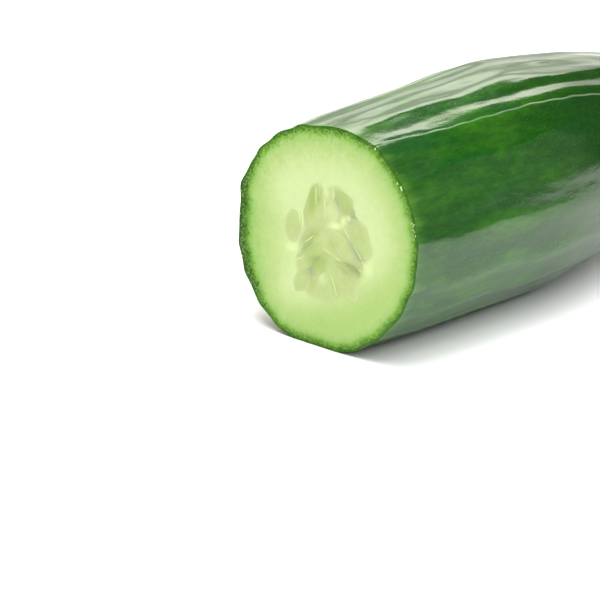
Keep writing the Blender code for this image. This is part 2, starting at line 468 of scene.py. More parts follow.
@dataclass(frozen=True)
class Grain:
    """Shared shader effect: grain of a given size, as a mask and as a height."""

    mask: Value
    height: Value
    tree_name: ClassVar[str] = "grain"

    @classmethod
    def tree(cls) -> bpy.types.NodeTree:
        """The group, made at its first use.

        Returns:
            The group.
        """
        if cls.tree_name in bpy.data.node_groups:
            return bpy.data.node_groups[cls.tree_name]
        tree = bpy.data.node_groups.new(cls.tree_name, "ShaderNodeTree")
        new_sockets(tree, "INPUT", {"Place": "Vector", "Size": "Vector", "From": "Float", "To": "Float"})
        new_sockets(tree, "OUTPUT", {"Mask": "Float", "Height": "Float"})
        g = Graph(tree)
        given = g.given()
        height = g.noise(g.vector("DIVIDE", given["Place"], given["Size"]), 1.0, 3.0, 0.55)
        g.node("NodeGroupOutput", {"Mask": g.ease(height, given["From"], given["To"]), "Height": height})
        return tree

    @classmethod
    def place(cls, g: Graph, at: Value, size: Range, low: float, high: float) -> "Grain":
        """Puts the group into a material.

        Args:
            g: The material's graph.
            at: Place to read, in millimetres.
            size: Grain size along x, y and z, in millimetres.
            low: Noise value where the mask starts.
            high: Noise value where the mask is full.

        Returns:
            The grain there.
        """
        inputs = {"Place": at, "Size": size, "From": low, "To": high}
        node = g.node("ShaderNodeGroup", inputs, node_tree=cls.tree())
        return cls(Value(g, node.outputs["Mask"]), Value(g, node.outputs["Height"]))


@dataclass(frozen=True)
class Finish:
    """What every finish of the cucumber has.

    Attributes:
        name: Name of the material.
        roughness: Middle roughness.
        ior: Index of refraction of the surface.
        even: Shader values that are the same all over.
    """

    name: str
    roughness: float
    ior: float = 1.45
    even: ClassVar[dict[str, object]] = {}
    middle_heights: ClassVar[tuple[float, float]] = (0.3, 0.7)

    def uneven(self, g: Graph, height: Value, shares: Range) -> Value:
        """Roughness that follows a grain's height, between two shares of the middle one."""
        return g.ease(height, *self.middle_heights, *(self.roughness * share for share in shares))

    def paint(self, g: Graph, place: Value) -> dict[str, Value]:
        """What changes over the surface.

        Args:
            g: The material's graph.
            place: The object's own place, in millimetres.

        Returns:
            Colours, roughness and normals by the shader's socket.
        """
        raise NotImplementedError

    def build(self) -> bpy.types.Material:
        """Makes the material.

        Returns:
            The material.
        """
        material = bpy.data.materials.new(self.name)
        material.use_nodes = True
        g = Graph(material.node_tree)
        shader = material.node_tree.nodes["Principled BSDF"]
        for name, value in ({"IOR": self.ior, "Roughness": self.roughness} | self.even).items():
            shader.inputs[name].default_value = value
        place = g.scale(g.out("ShaderNodeTexCoord", {}, "Object"), 1 / MM)
        for name, value in self.paint(g, place).items():
            g.tree.links.new(value.socket, shader.inputs[name])
        return material

    @staticmethod
    def bump(g: Graph, height: Value) -> Value:
        """Normal of a height in millimetres."""
        return g.out("ShaderNodeBump", {"Height": height, "Distance": MM})

    @staticmethod
    def toned(g: Graph, colour: Value, tone: Value, dark: Colour, pale: Colour) -> Value:
        """A colour that goes to the dark one with a tone below nothing, to the pale one above it."""
        colour = g.mix(g.math("MULTIPLY", tone, -1.0, clamp=True), colour, dark)
        return g.mix(g.math("MULTIPLY", tone, 1.0, clamp=True), colour, pale)


@dataclass(frozen=True)
class SkinFinish(Finish):
    """Waxy dark green skin, mottled, paler where the cut lets light in.

    Attributes:
        deep: Its usual colour.
        fresh: Its yellower patches.
        blue: Its bluer patches.
        shade: Its darkest green: its dark mottle, its darkening towards the stem end, and painted shade in
            the hollows between the ribs.
        speck: Its fine light specks.
        edge: Painted glow next to the cut, where light comes in through the flesh.
        ridge_glint: Painted highlight along the thin ridge, a pale green-white line.
        ridge_height: Height of the ridge near the cut and farther away, in millimetres.
        ridge_half_width: Half width of the ridge, in millimetres.
    """

    name: str = "cucumber skin"
    roughness: float = 0.15
    ior: float = 1.6
    deep: Colour = display(23, 78, 11)
    fresh: Colour = display(44, 98, 12)
    blue: Colour = display(25, 78, 24)
    shade: Colour = display(13, 45, 8)
    speck: Colour = display(70, 116, 44)
    edge: Colour = display(96, 146, 48)
    ridge_glint: Colour = display(176, 206, 158)
    patch_grain: GrainRange = ((16, 6, 6), 0.38, 0.62)
    wide_grain: GrainRange = ((30, 8, 8), 0.45, 0.65)
    wide_shift: Range = (40, 9, 5)
    spill_grain: GrainRange = ((60, 2.6, 2.6), 0.52, 0.66)
    spill_shift: Range = (3, 0, 11)
    mottle_grain: GrainRange = ((2.8, 1.0, 1.0), 0.35, 0.65)
    speck_grain: GrainRange = ((0.8, 0.34, 0.34), 0.56, 0.72)
    uneven_shares: Range = (0.9, 1.25)
    mottle_share: float = 0.36
    speck_share: float = 0.2
    ridge_glint_share: float = 0.25
    stem_end_darkening: Range = (22, 68, 0.0, 0.68)
    hollow_shade: Range = (0.35, -0.1, 0.0, 0.3)
    cut_glow_spill: Range = (3.0, -2.4, 0.0, 0.42)
    spill_swing: float = 11
    mottle_swing: float = 5
    mottle_bump: float = 0.034
    speck_bump: float = 0.009
    ridge_grows: Range = (28, 56)
    ridge_height: Range = (0.06, 0.11)
    ridge_half_width: float = 0.16

    def paint(self, g: Graph, place: Value) -> dict[str, Value]:
        """Colour, roughness and relief of the skin.

        Args:
            g: The material's graph.
            place: The object's own place, in millimetres.

        Returns:
            Values by the shader's socket.
        """
        along, rib, ridge = g.attribute("skin_place", "Vector").parts()
        patch = Grain.place(g, place, *self.patch_grain)
        mottle = Grain.place(g, place, *self.mottle_grain)
        speck = Grain.place(g, place, *self.speck_grain)
        wide = Grain.place(g, g.vector("ADD", place, self.wide_shift), *self.wide_grain)
        spill = Grain.place(g, g.vector("ADD", place, self.spill_shift), *self.spill_grain)
        colour = g.mix(patch.mask, self.deep, self.fresh)
        colour = g.mix(wide.mask, colour, self.blue)
        colour = g.mix(mottle.mask * self.mottle_share, colour, self.shade)
        # Darker green towards the stem end.
        colour = g.mix(g.ease(along, *self.stem_end_darkening), colour, self.shade)
        # Painted shade in the hollows between the ribs.
        colour = g.mix(g.ease(rib, *self.hollow_shade), colour, self.shade)
        colour = g.mix(speck.mask * self.speck_share, colour, self.speck)
        # Painted light: the skin turns paler green next to the cut, a glow where light comes in through the
        # flesh.
        near = along + (0.5 - spill.height) * self.spill_swing + (0.5 - mottle.height) * self.mottle_swing
        colour = g.mix(g.ease(near, *self.cut_glow_spill), colour, self.edge)
        crest = ridge / self.ridge_half_width
        crest = g.math("EXPONENT", crest * crest * -1.0)
        # Painted highlight: a pale green-white line along the thin ridge; the ridge's own relief is the bump
        # below.
        colour = g.mix(crest * self.ridge_glint_share, colour, self.ridge_glint)
        bumps = mottle.height * self.mottle_bump + speck.height * self.speck_bump
        bumps = bumps + crest * g.ease(along, *self.ridge_grows, *self.ridge_height)
        rough = self.uneven(g, patch.height, self.uneven_shares)
        return {"Base Color": colour, "Roughness": rough, "Normal": self.bump(g, bumps)}


@dataclass(frozen=True)
class FleshFinish(Finish):
    """Wet pale flesh: green at the rind, yellower inside, glassy round the seeds.

    Attributes:
        ramp: Colour at some depths under the skin, in millimetres.
        pith: Colour between the seeds.
        glassy: Its darkest, most see-through places.
        pale: Its palest places, and its membranes.
        shaded_low_side: Greener, darker colour of the outer flesh on the lower right, partly its own tone and
            partly painted shade.
    """

    name: str = "cucumber flesh"
    roughness: float = 0.3
    even: ClassVar[dict[str, object]] = {
        "Specular IOR Level": 0.16, "Subsurface Weight": 0.3,
        "Subsurface Radius": (1.0, 1.0, 0.55), "Subsurface Scale": 1.4 * MM,
    }
    ramp: tuple[tuple[float, Colour], ...] = (
        (0.0, display(36, 84, 8)),
        (0.6, display(66, 118, 16)),
        (1.2, display(113, 164, 44)),
        (2.0, display(150, 193, 100)),
        (3.5, display(175, 202, 124)),
        (5.2, display(186, 209, 135)),
        (7.2, display(197, 217, 149)),
        (9.5, display(205, 222, 160)),
        (12.0, display(207, 224, 163)),
    )
    pith: Colour = display(191, 206, 141)
    glassy: Colour = display(160, 184, 96)
    pale: Colour = display(224, 240, 178)
    shaded_low_side: Colour = display(172, 202, 118)
    far_direction: Range = (-0.98, -0.17, 0.0)
    rough_direction: Range = (-0.87, 0.5, 0.0)
    low_direction: Range = (0.5, -0.86, 0.0)
    ray_spread: float = 23
    lump_swing: float = 3.4
    grain_swing: float = 2.6
    core_swing: float = 1.2
    streak_grain: GrainRange = ((1.0, 1.0, 1.0), 0.4, 0.68)
    lump_grain: GrainRange = ((1.2, 1.2, 1.2), 0.38, 0.62)
    cloud_grain: GrainRange = ((3.2, 3.2, 3.2), 0.35, 0.65)
    bits_grain: GrainRange = ((0.5, 0.5, 0.5), 0.4, 0.7)
    uneven_shares: Range = (0.8, 1.2)
    ray_lift: float = 0.3
    far_thick: Range = (0.7, 1.02, 0.95, 1.75)
    wander_depth: Range = (0.0, 1.6, 0.4, 1.0)
    wander_side: Range = (-0.2, 0.6, 0.45, 1.0)
    streak_depth: Range = (0.4, 3.0, 0.3, 1.3)
    lump_depth: Range = (2.6, 0.6, 0.0, 0.7)
    far_dark: Range = (0.65, 0.95, 0.0, 0.9)
    dark_level: Range = (1.7, 0.6)
    bits_inner: Range = (2.2, 1.0, 0.0, 0.35)
    bits_outer: Range = (0.25, 0.8)
    low_reach: Range = (6.0, 17.0)
    low_level: Range = (1.5, 5.0, 0.0, 0.9)
    core_edge: Range = (0.7, -0.7)
    stroke_edge: Range = (0.3, -0.05, 0.0, 0.6)
    streak_bump: Range = (10.0, 2.0, 0.005, 0.03)
    grain_bump: float = 0.03
    cloud_bump: float = 0.12

    def depth_ramp(self, g: Graph, depth: Value) -> Value:
        """Colour by the depth under the skin.

        Args:
            g: The material's graph.
            depth: The depth, in millimetres.

        Returns:
            The colour.
        """
        deepest = self.ramp[-1][0]
        node = g.node("ShaderNodeValToRGB", {0: g.math("DIVIDE", depth, deepest, clamp=True)})
        stops = node.color_ramp.elements
        for _ in self.ramp[2:]:
            stops.new(1.0)
        for stop, (at, colour) in zip(stops, self.ramp):
            stop.position = at / deepest
            stop.color = (*colour, 1.0)
        return Value(g, node.outputs[0])

    def paint(self, g: Graph, place: Value) -> dict[str, Value]:
        """Colour, roughness and relief of the flesh.

        Args:
            g: The material's graph.
            place: The object's own place, in millimetres.

        Returns:
            Values by the shader's socket.
        """
        right, up, depth = g.attribute("cut_place", "Vector").parts()
        core_gap, stroke_gap, tone = g.attribute("cut_marks", "Vector").parts()
        flat = g.join(right, up)
        ray = g.vector("NORMALIZE", flat)
        radius = g.vector("LENGTH", flat)
        ray_place = g.vector("ADD", g.scale(ray, self.ray_spread), g.join(0.0, 0.0, radius * self.ray_lift))
        streak = Grain.place(g, ray_place, *self.streak_grain)
        lump = Grain.place(g, place, *self.lump_grain)
        cloud = Grain.place(g, place, *self.cloud_grain)
        grain = Grain.place(g, place, *self.bits_grain)
        far_side = g.vector("DOT_PRODUCT", ray, self.far_direction)
        rough_side = g.vector("DOT_PRODUCT", ray, self.rough_direction)
        thick = g.ease(far_side, *self.far_thick)
        middle = (self.lump_swing + self.grain_swing) / 2
        wander = lump.height * self.lump_swing + grain.height * self.grain_swing - middle
        wander = wander * g.ease(depth, *self.wander_depth) * g.ease(rough_side, *self.wander_side)
        wander = wander + (streak.height - 0.5) * g.ease(depth, *self.streak_depth)
        level = (depth + wander) / thick
        colour = self.depth_ramp(g, level)
        colour = g.mix(lump.mask * g.ease(depth / thick, *self.lump_depth), colour, self.ramp[1][1])
        dark = g.ease(far_side, *self.far_dark) * g.ease(level, *self.dark_level)
        colour = g.mix(dark, colour, self.ramp[0][1])
        bits = grain.mask * g.ease(depth, *self.bits_inner) * g.ease(depth, *self.bits_outer)
        colour = g.mix(bits, colour, self.ramp[4][1])
        # The outer flesh on the lower right turns greener and darker: partly its own tone, partly painted
        # shade.
        low = g.ease(g.vector("DOT_PRODUCT", flat, self.low_direction), *self.low_reach)
        colour = g.mix(low * g.ease(level, *self.low_level), colour, self.shaded_low_side)
        core = g.ease(core_gap + (cloud.height - 0.5) * self.core_swing, *self.core_edge)
        colour = g.mix(core, colour, self.pith)
        colour = self.toned(g, colour, tone, self.glassy, self.pale)
        colour = g.mix(g.ease(stroke_gap, *self.stroke_edge), colour, self.pale)
        bumps = streak.height * g.ease(depth, *self.streak_bump)
        bumps = bumps + grain.height * self.grain_bump + cloud.height * self.cloud_bump
        rough = self.uneven(g, cloud.height, self.uneven_shares)
        return {"Base Color": colour, "Roughness": rough, "Normal": self.bump(g, bumps)}


@dataclass(frozen=True)
class SeedFinish(Finish):
    """Unripe seed under its clear coat, paler at its outline."""

    name: str = "cucumber seed"
    roughness: float = 0.28
    even: ClassVar[dict[str, object]] = {
        "Specular IOR Level": 0.25, "Subsurface Weight": 0.4,
        "Subsurface Radius": (1.0, 1.0, 0.5), "Subsurface Scale": 1.5 * MM,
    }
    vein_grain: GrainRange = ((1.8, 1.8, 1.8), 0.4, 0.65)
    vein_share: float = 0.6
    vein_bump: float = 0.05
    outline_from: Range = (0.36, 0.6)
    inside: Colour = display(188, 205, 136)
    vein: Colour = display(180, 198, 128)
    outline: Colour = display(193, 208, 143)
    glassy: Colour = display(160, 184, 96)
    pale: Colour = display(218, 236, 170)

    def paint(self, g: Graph, place: Value) -> dict[str, Value]:
        """Colour and relief of the seeds.

        Args:
            g: The material's graph.
            place: The object's own place, in millimetres.

        Returns:
            Values by the shader's socket.
        """
        veins = Grain.place(g, place, *self.vein_grain)
        colour = g.mix(veins.mask * self.vein_share, self.inside, self.vein)
        colour = g.mix(g.ease(g.attribute("seed_edge", "Fac"), *self.outline_from), colour, self.outline)
        colour = self.toned(g, colour, g.attribute("tone", "Fac"), self.glassy, self.pale)
        return {"Base Color": colour, "Normal": self.bump(g, veins.height * self.vein_bump)}


@dataclass(frozen=True)
class StrandFinish(Finish):
    """Pale torn fibre of the flesh."""

    name: str = "cucumber strand"
    roughness: float = 0.3
    even: ClassVar[dict[str, object]] = {"Subsurface Weight": 0.4, "Subsurface Scale": 1.0 * MM}
    fibre_grain: GrainRange = ((0.7, 0.7, 0.7), 0.4, 0.6)
    pale: Colour = display(202, 219, 154)
    green: Colour = display(191, 209, 139)

    def paint(self, g: Graph, place: Value) -> dict[str, Value]:
        """Colour of the fibre."""
        return {"Base Color": g.mix(Grain.place(g, place, *self.fibre_grain).mask, self.pale, self.green)}


@dataclass(frozen=True)
class StubFinish(Finish):
    """Dry stem, corky and pale at its cut end."""

    name: str = "cucumber stem"
    roughness: float = 0.75
    streak_grain: GrainRange = ((4.0, 0.5, 0.5), 0.38, 0.62)
    spot_grain: GrainRange = ((0.6, 0.35, 0.35), 0.5, 0.68)
    spot_share: float = 0.6
    streak_bump: float = 0.25
    spot_bump: float = 0.12
    green: Colour = display(92, 112, 48)
    dry: Colour = display(150, 142, 88)
    cork: Colour = display(186, 176, 126)
    dark: Colour = display(58, 62, 30)

    def paint(self, g: Graph, place: Value) -> dict[str, Value]:
        """Colour and relief of the stem.

        Args:
            g: The material's graph.
            place: The object's own place, in millimetres.

        Returns:
            Values by the shader's socket.
        """
        streak = Grain.place(g, place, *self.streak_grain)
        spots = Grain.place(g, place, *self.spot_grain)
        colour = g.mix(streak.mask, self.green, self.dry)
        colour = g.mix(spots.mask * self.spot_share, colour, self.dark)
        colour = g.mix(g.attribute("stub_end", "Fac"), colour, self.cork)
        bumps = streak.height * self.streak_bump + spots.height * self.spot_bump
        return {"Base Color": colour, "Normal": self.bump(g, bumps)}


class Layer(enum.Enum):
    """Where a face of the body lies."""

    SKIN = 0
    FLESH = 1


def geometry_tree(name: str, inputs: dict[str, str]) -> tuple[Graph, dict[str, Value]]:
    """Starts a geometry tree.

    Args:
        name: Its name.
        inputs: Kind of each named input besides the geometry.

    Returns:
        Its graph, and its inputs by name.
    """
    tree = bpy.data.node_groups.new(name, "GeometryNodeTree")
    new_sockets(tree, "INPUT", {"Geometry": "Geometry"} | inputs)
    new_sockets(tree, "OUTPUT", {"Geometry": "Geometry"})
    g = Graph(tree)
    return g, g.given()


def end_tree(g: Graph, geometry: Value, *materials: dict[str, object]) -> bpy.types.NodeTree:
    """Ends a geometry tree: instances are made real and get their materials.

    Args:
        g: The tree's graph.
        geometry: What the tree made.
        materials: Inputs of each Set Material node, in order.

    Returns:
        The tree.
    """
    geometry = g.out("GeometryNodeRealizeInstances", {0: geometry})
    for inputs in materials:
        geometry = g.out("GeometryNodeSetMaterial", {"Geometry": geometry} | inputs)
    g.node("NodeGroupOutput", {0: geometry})
    return g.tree


def mesh_of(name: str, points: np.ndarray, faces: list = (), edges: list = ()) -> bpy.types.Mesh:
    """A mesh from its points and what joins them.

    Args:
        name: Its name.
        points: Places of its points.
        faces: Its faces, as numbers of points.
        edges: Its edges, where it has no faces.

    Returns:
        The mesh.
    """
    mesh = bpy.data.meshes.new(name)
    mesh.from_pydata(points.reshape(-1, 3).tolist(), list(edges), list(faces))
    return mesh


def add_object(name: str, data: bpy.types.ID) -> bpy.types.Object:
    """Makes an object and puts it into the scene.

    Args:
        name: Its name.
        data: Its mesh, light or camera.

    Returns:
        The object.
    """
    made = bpy.data.objects.new(name, data)
    bpy.context.scene.collection.objects.link(made)
    return made


def store(mesh: bpy.types.Mesh, name: str, kind: str, domain: str, values: np.ndarray) -> None:
    """Writes values to a new attribute of a mesh.

    Args:
        mesh: The mesh.
        name: Name of the attribute.
        kind: FLOAT, FLOAT_VECTOR or INT.
        domain: POINT or FACE.
        values: One value or vector each.
    """
    attribute = mesh.attributes.new(name, kind, domain)
    attribute.data.foreach_set("vector" if kind == "FLOAT_VECTOR" else "value", np.ravel(values))


def bridge(first: np.ndarray, second: np.ndarray) -> list[tuple[int, ...]]:
    """Faces between two rings of points.

    Args:
        first: Numbers of the first ring's points.
        second: Numbers of the second ring's points, as many or half as many.

    Returns:
        The faces, as numbers of points.
    """
    after, below = np.roll(first, -1), np.roll(second, -1)
    if len(first) == len(second):
        return list(zip(first.tolist(), after.tolist(), below.tolist(), second.tolist()))
    faces = []
    for number, (a, b) in enumerate(zip(second.tolist(), below.tolist())):
        low, middle = int(first[2 * number]), int(first[2 * number + 1])
        high = int(first[(2 * number + 2) % len(first)])
        faces += [(low, middle, a), (middle, b, a), (middle, high, b)]
    return faces


def tube(rings: np.ndarray) -> list[tuple[int, ...]]:
    """Faces of a tube, from the numbers of its points ring by ring."""
    return [face for low, high in zip(rings, rings[1:]) for face in bridge(high, low)]


def fan(centre: int, ring: np.ndarray) -> list[tuple[int, ...]]:
    """Triangles from a point to a ring of points."""
    return [(centre, a, b) for a, b in zip(ring.tolist(), np.roll(ring, -1).tolist())]


@dataclass(frozen=True)
class Patch:
    """An oval place in the cut: a seed, or a soft patch of the core. Its lengths are in millimetres.

    Attributes:
        right: Its centre to the right of the axis.
        up: Its centre above the axis.
        half_length: Half its length.
        half_width: Half its width.
        lean: How far its top leans to the right.
        tone: Darker and glassier below nothing, paler above it.
    """

    right: float
    up: float
    half_length: float
    half_width: float
    lean: float
    tone: float

    def share(self, right: np.ndarray, up: np.ndarray) -> np.ndarray:
        """Its tone at some places, fading outwards.

        Args:
            right: Right of the places, in metres.
            up: Up of the places, in metres.

        Returns:
            Its tone there.
        """
        turn = math.radians(self.lean)
        across, along = right / MM - self.right, up / MM - self.up
        u = (across * math.cos(turn) - along * math.sin(turn)) / self.half_width
        v = (across * math.sin(turn) + along * math.cos(turn)) / self.half_length
        return self.tone * np.exp(-((u * u + v * v) ** 1.5))


SEEDS = tuple(Patch(*values) for values in (
    (-8.5, 1.1, 3.2, 2.1, -5, 0.0),
    (-4.1, 6.4, 4.2, 1.6, 13, -0.1),
    (1.0, 5.8, 2.6, 1.7, 12, 0.25),
    (3.8, 8.3, 3.3, 1.8, -48, -0.15),
    (8.4, 2.0, 4.3, 2.3, -31, 0.0),
    (5.0, -0.8, 4.9, 1.8, -54, 0.06),
    (-4.2, -0.3, 2.5, 1.2, 40, -0.05),
    (-2.8, -3.0, 3.4, 1.7, 52, -0.1),
    (-0.8, -5.9, 2.8, 1.6, 55, 0.0),
    (6.4, -4.6, 3.2, 1.1, -80, -0.1),
    (-4.6, -9.3, 3.4, 1.8, 34, 0.0),
    (1.4, -10.1, 3.0, 1.8, -8, 0.0),
    (6.6, -8.2, 3.2, 1.8, -48, 0.0),
))

SPOTS = tuple(Patch(*values) for values in (
    (-4.0, 7.4, 2.6, 1.0, 0, -0.75),
    (-2.4, 8.6, 1.9, 0.45, -3, -0.6),
    (-4.9, 4.4, 1.8, 1.3, 11, -0.2),
    (0.9, 7.1, 3.4, 1.7, -17, 0.16),
    (4.2, 8.0, 3.0, 1.5, -44, -0.25),
    (2.0, -0.6, 1.4, 1.4, -46, -0.35),
    (7.4, -4.5, 2.6, 1.0, -77, -0.5),
    (3.7, -5.4, 2.0, 1.4, 25, -0.1),
    (-3.4, 0.1, 2.4, 0.9, 50, -0.6),
    (-1.2, -5.0, 2.6, 1.8, 67, -0.7),
    (-3.3, -2.7, 2.7, 1.8, 32, -0.3),
    (1.9, 3.2, 1.8, 0.75, 80, 0.85),
    (4.0, 4.6, 0.8, 0.7, 0, 0.7),
    (5.8, 5.7, 1.5, 0.6, 80, 0.7),
    (-8.2, -3.3, 1.9, 1.0, 80, 0.6),
    (11.4, -3.7, 1.6, 1.2, 0, 0.4),
    (-1.0, 9.6, 1.3, 0.8, -16, 0.5),
    (-6.5, 3.2, 1.8, 0.5, -11, 0.5),
    (0.4, -8.2, 1.2, 1.0, 0, 0.5),
    (-2.0, -9.6, 1.6, 1.0, 10, -0.4),
    (4.0, -9.4, 1.6, 1.0, -30, -0.3),
))


def spot_tone(right: np.ndarray, up: np.ndarray) -> np.ndarray:
    """Tone of all the soft patches together at some places."""
    return np.sum([spot.share(right, up) for spot in SPOTS], axis=0)


@dataclass(frozen=True)
class Stroke:
    """A thin bright strand in the cut, from one place to another, in millimetres."""

    start: tuple[float, float]
    end: tuple[float, float]
    half_width: float
    narrowing: ClassVar[float] = 0.6

    def gap(self, right: np.ndarray, up: np.ndarray) -> np.ndarray:
        """How far some places lie outside the strand.

        Args:
            right: Right of the places, in metres.
            up: Up of the places, in metres.

        Returns:
            The gaps, in millimetres.
        """
        first, last = np.array(self.start), np.array(self.end)
        place = np.stack([right, up], -1) / MM - first
        run = last - first
        share = np.clip(place @ run / (run @ run), 0.0, 1.0)
        width = self.half_width * (1 - self.narrowing * np.abs(2 * share - 1))
        return np.linalg.norm(place - share[..., None] * run, axis=-1) - width


STROKES = tuple(Stroke(*values) for values in (
    ((-3.5, 10.1), (-3.1, 6.6), 0.36),
    ((-2.6, 9.9), (-2.4, 8.0), 0.1),
    ((0.8, 10.3), (1.2, 8.2), 0.28),
    ((-5.2, -1.8), (-3.0, 0.1), 0.32),
    ((3.9, 3.6), (6.9, 0.6), 0.07),
    ((6.9, 0.6), (10.3, -3.0), 0.14),
    ((-0.2, -2.0), (2.4, -2.9), 0.09),
    ((2.4, -2.9), (4.9, -3.7), 0.15),
    ((4.9, -3.7), (9.6, -4.3), 0.07),
    ((-6.8, -5.6), (-4.1, -3.8), 0.16),
    ((-7.2, -4.9), (-5.4, -3.4), 0.1),
    ((-6.9, -4.2), (-4.6, -2.0), 0.1),
    ((-1.1, 7.8), (-0.7, 4.4), 0.06),
    ((-6.9, 4.6), (-6.3, 1.5), 0.1),
    ((-2.6, -7.6), (-4.6, -9.9), 0.07),
    ((2.4, -7.2), (4.2, -10.4), 0.08),
))

# Outline of the core: angle and distance from the axis in millimetres, once round
CORE = (
    (-158, 7.0), (-141, 8.6), (-126, 10.4), (-108, 12.2), (-90, 12.6), (-70, 12.4), (-52, 11.8), (-27, 11.2),
    (-11, 10.9), (2, 11.5), (21, 10.7), (37, 9.4), (47, 8.9), (56, 10.5), (67, 10.8), (81, 11.1), (93, 10.6),
    (103, 10.6), (114, 11.1), (123, 9.7), (134, 8.3), (160, 6.3), (176, 5.8), (202, 7.0),
)


def core_gap(right: np.ndarray, up: np.ndarray) -> np.ndarray:
    """How far some places lie outside the core.

    Args:
        right: Right of the places, in metres.
        up: Up of the places, in metres.

    Returns:
        The gaps, in millimetres.
    """
    angle = np.degrees(np.arctan2(up, right))
    angle = np.where(angle < CORE[0][0], angle + 360, angle)
    return np.hypot(right, up) / MM - smooth_curve(CORE, angle)


@dataclass(frozen=True)
class Knot:
    """A small swelling or dent of the skin.

    Attributes:
        along: Its distance from the cut, in millimetres.
        angle: Its angle round the body.
        half_length: Half its length along the body, in millimetres.
        half_width: Half its width, in degrees.
        height: Its height, in millimetres.
    """

    along: float
    angle: float
    half_length: float
    half_width: float
    height: float

    def relief(self, along: np.ndarray, angle: np.ndarray) -> np.ndarray:
        """Its height at some places.

        Args:
            along: Distances from the cut.
            angle: Angles round the body.

        Returns:
            The heights, in metres.
        """
        reach = (along / MM - self.along) / self.half_length
        turn = turn_between(angle, self.angle) / self.half_width
        return self.height * MM * np.exp(-(reach**2) - turn**2)


KNOTS = tuple(Knot(*values) for values in (
    (26, 66.5, 10, 3.0, 0.14),
    (8, 76.5, 6, 3.2, -0.08),
    (34, 79.5, 7, 3.0, 0.08),
    (48, 69.5, 9, 3.0, 0.20),
    (64, 67.5, 12, 3.0, 0.24),
    (62, 56.5, 14, 3.0, 0.12),
    (45, 85.5, 8, 3.2, 0.26),
    (61, 86.0, 5, 3.2, 0.30),
    (22, 90.0, 8, 3.4, 0.10),
    (72, 80.0, 5, 3.0, 0.16),
    (50, 104.0, 7, 3.4, 0.14),
    (84, 92.0, 7, 3.4, 0.18),
))


@dataclass
class Piece:
    """A piece of the cucumber, which a geometry tree grows from a mesh.

    Attributes:
        form: The law of the outside.
        name: Name of its object.
        slot: The record's slot that it stands for; only the log reads it.
    """

    form: Form
    name: ClassVar[str]
    slot: ClassVar[str]

    def mesh(self) -> bpy.types.Mesh:
        """What the tree starts from."""
        raise NotImplementedError

    def tree(self) -> bpy.types.NodeTree:
        """The geometry tree."""
        raise NotImplementedError

    def values(self) -> dict[str, object]:
        """Value of each of the tree's inputs by name."""
        raise NotImplementedError

    def dress(self, mesh: bpy.types.Mesh) -> None:
        """Adds what the finish reads and the tree doesn't make."""

    def grow(self) -> bpy.types.Mesh:
        """Runs the tree on the mesh and keeps the result as a plain mesh.

        Returns:
            The mesh.
        """
        carrier = add_object(self.name + "_carrier", self.mesh())
        modifier = carrier.modifiers.new("tree", "NODES")
        modifier.node_group = self.tree()
        values = self.values()
        for item in modifier.node_group.interface.items_tree:
            if item.in_out == "INPUT" and item.name in values:
                modifier[item.identifier] = values[item.name]
        graph = bpy.context.evaluated_depsgraph_get()
        plain = bpy.data.meshes.new_from_object(carrier.evaluated_get(graph), depsgraph=graph)
        bpy.data.objects.remove(carrier)
        return plain

    def build(self) -> None:
        """Makes the piece and ties it to the frame."""
        piece = add_object(self.name, self.grow())
        self.dress(piece.data)
        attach(piece, "root")
        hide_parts("cucumber")
        LOG.info("%s: %d faces, slot %s", piece.name, len(piece.data.polygons), self.slot)


